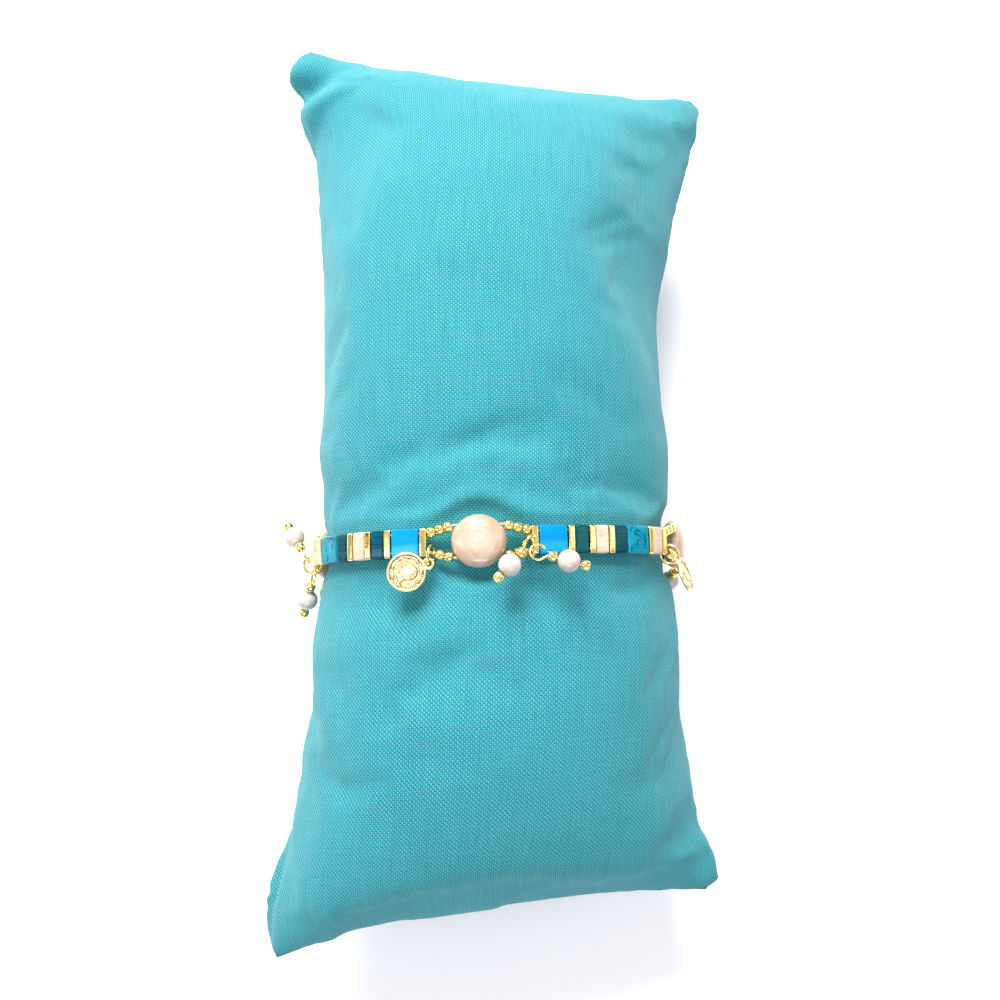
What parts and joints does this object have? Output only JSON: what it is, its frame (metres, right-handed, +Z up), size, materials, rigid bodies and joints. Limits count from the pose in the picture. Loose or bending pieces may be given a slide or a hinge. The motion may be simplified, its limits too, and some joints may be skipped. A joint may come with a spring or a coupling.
{
  "type": "pearl bracelet on a display pillow",
  "caption": "Tile-bead bracelet with flat coin pearls, gold seed beads and small coin and pearl charms, round a slim stuffed cloth display pillow.",
  "frame": {"origin": "centre of the pillow's flat underside, on the surface it lies on", "axes": "+Y along the pillow, +X across it to the right of the front pearl, +Z up"},
  "size_m": [0.0876, 0.1798, 0.057],
  "materials": {
    "cloth": "plain woven, matt",
    "gold": "polished gold plate",
    "coin_pearl": "cream pearl lustre",
    "drop_pearl": "white pearl lustre",
    "glaze_sky": "opaque, gloss",
    "glaze_petrol": "streaked, gloss",
    "glaze_cream": "opaque, satin gloss",
    "glaze_teal": "opaque, gloss",
    "glaze_turquoise": "opaque with a dark vein, gloss"
  },
  "bodies": {
    "root": {"coin_front": "gold", "coin_left": "gold", "coin_pearl_back": "coin_pearl", "coin_pearl_front": "coin_pearl", "coin_pearl_left": "coin_pearl", "coin_pearl_right": "coin_pearl", "coin_right": "gold", "coin_ring_front": "gold", "coin_ring_left": "gold", "coin_ring_right": "gold", "drop_pearl_front_a": "drop_pearl", "drop_pearl_front_b": "drop_pearl", "drop_pearl_left_a": "drop_pearl", "drop_pearl_left_b": "drop_pearl", "drop_pearl_right_a": "drop_pearl", "drop_pearl_right_b": "drop_pearl", "drop_pin_front_a": "gold", "drop_pin_front_b": "gold", "drop_pin_left_a": "gold", "drop_pin_left_b": "gold", "drop_pin_right_a": "gold", "drop_pin_right_b": "gold", "drop_ring_front": "gold", "drop_ring_left": "gold", "drop_ring_right": "gold", "gold_string": "gold", "pillow": "cloth", "tile_front_left_1_sky": "glaze_sky", "tile_front_left_2_petrol": "glaze_petrol", "tile_front_left_3_cream": "glaze_cream", "tile_front_left_4_teal": "glaze_teal", "tile_front_left_5_turquoise": "glaze_turquoise", "tile_front_left_6_cream": "glaze_cream", "tile_front_right_1_sky": "glaze_sky", "tile_front_right_2_petrol": "glaze_petrol", "tile_front_right_3_cream": "glaze_cream", "tile_front_right_4_teal": "glaze_teal", "tile_front_right_5_turquoise": "glaze_turquoise", "tile_front_right_6_cream": "glaze_cream", "tile_left_back_1_sky": "glaze_sky", "tile_left_back_2_petrol": "glaze_petrol", "tile_left_back_3_cream": "glaze_cream", "tile_left_back_4_teal": "glaze_teal", "tile_left_back_5_turquoise": "glaze_turquoise", "tile_left_back_6_cream": "glaze_cream", "tile_right_back_1_sky": "glaze_sky", "tile_right_back_2_petrol": "glaze_petrol", "tile_right_back_3_cream": "glaze_cream", "tile_right_back_4_teal": "glaze_teal", "tile_right_back_5_turquoise": "glaze_turquoise", "tile_right_back_6_cream": "glaze_cream"}
  },
  "joints": []
}
